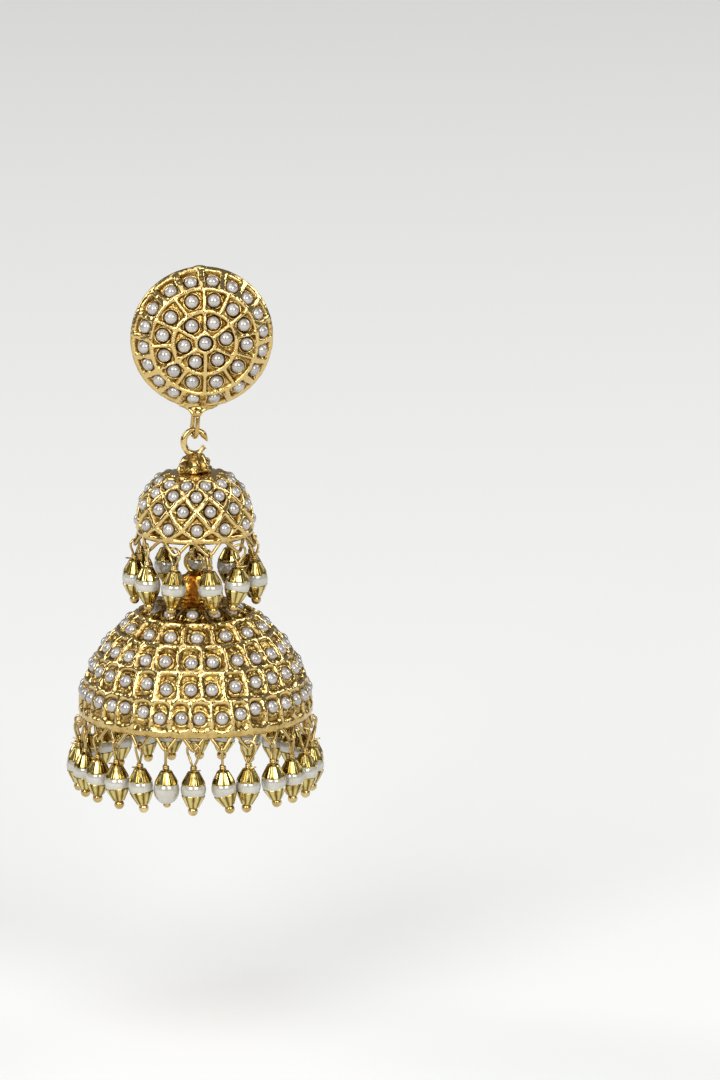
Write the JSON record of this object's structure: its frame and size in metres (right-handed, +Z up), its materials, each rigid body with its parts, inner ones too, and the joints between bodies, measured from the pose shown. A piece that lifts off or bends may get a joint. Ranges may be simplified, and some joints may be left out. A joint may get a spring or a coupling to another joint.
{
  "type": "jhumka earring",
  "caption": "Gold-plated jhumka earring: a pearl-set stud with a small and a large pearl-set bell hanging below it, both fringed with capped pearl drops.",
  "frame": {"origin": "centre of the stud's flat back, where the ear post stands on it", "axes": "+Z up, -Y out of the stud's domed front, +Y along the ear post to the back"},
  "size_m": [0.0416, 0.0413, 0.0856],
  "materials": {
    "gold_plate": "polished gold plate on cast brass, darker in the recesses",
    "gold_wire": "polished gold-plated wire and solder",
    "bead_caps": "bright fluted metal, pale greenish gold",
    "seed_pearls": "lustrous grey-white imitation half-pearl",
    "drop_pearls": "lustrous cream imitation pearl"
  },
  "bodies": {
    "stud_body": {"stud": "gold_plate"},
    "upper_body": {"upper_bell": "gold_plate", "upper_drop_01": "bead_caps", "upper_drop_02": "bead_caps", "upper_drop_03": "bead_caps", "upper_drop_04": "bead_caps", "upper_drop_05": "bead_caps", "upper_drop_06": "bead_caps", "upper_drop_07": "bead_caps", "upper_drop_08": "bead_caps", "upper_drop_09": "bead_caps", "upper_drop_10": "bead_caps", "upper_drop_11": "bead_caps"},
    "lower_body": {"lower_bell": "gold_plate", "lower_drop_01": "bead_caps", "lower_drop_02": "bead_caps", "lower_drop_03": "bead_caps", "lower_drop_04": "bead_caps", "lower_drop_05": "bead_caps", "lower_drop_06": "bead_caps", "lower_drop_07": "bead_caps", "lower_drop_08": "bead_caps", "lower_drop_09": "bead_caps", "lower_drop_10": "bead_caps", "lower_drop_11": "bead_caps", "lower_drop_12": "bead_caps", "lower_drop_13": "bead_caps", "lower_drop_14": "bead_caps", "lower_drop_15": "bead_caps", "lower_drop_16": "bead_caps", "lower_drop_17": "bead_caps", "lower_drop_18": "bead_caps", "lower_drop_19": "bead_caps", "lower_drop_20": "bead_caps", "lower_drop_21": "bead_caps", "lower_drop_22": "bead_caps", "lower_drop_23": "bead_caps", "lower_drop_24": "bead_caps", "lower_drop_25": "bead_caps", "lower_drop_26": "bead_caps"}
  },
  "joints": [
    {"name": "main_drop_swing", "type": "hinge", "parent": "stud_body", "child": "upper_body", "pos_m": [-0.00131, -0.00155, -0.01494], "axis": [1, 0, 0], "range_deg": [-40, 40]},
    {"name": "large_bell_swing", "type": "hinge", "parent": "upper_body", "child": "lower_body", "pos_m": [-0.00131, -0.00155, -0.03504], "axis": [1, 0, 0], "range_deg": [-6, 6]}
  ]
}
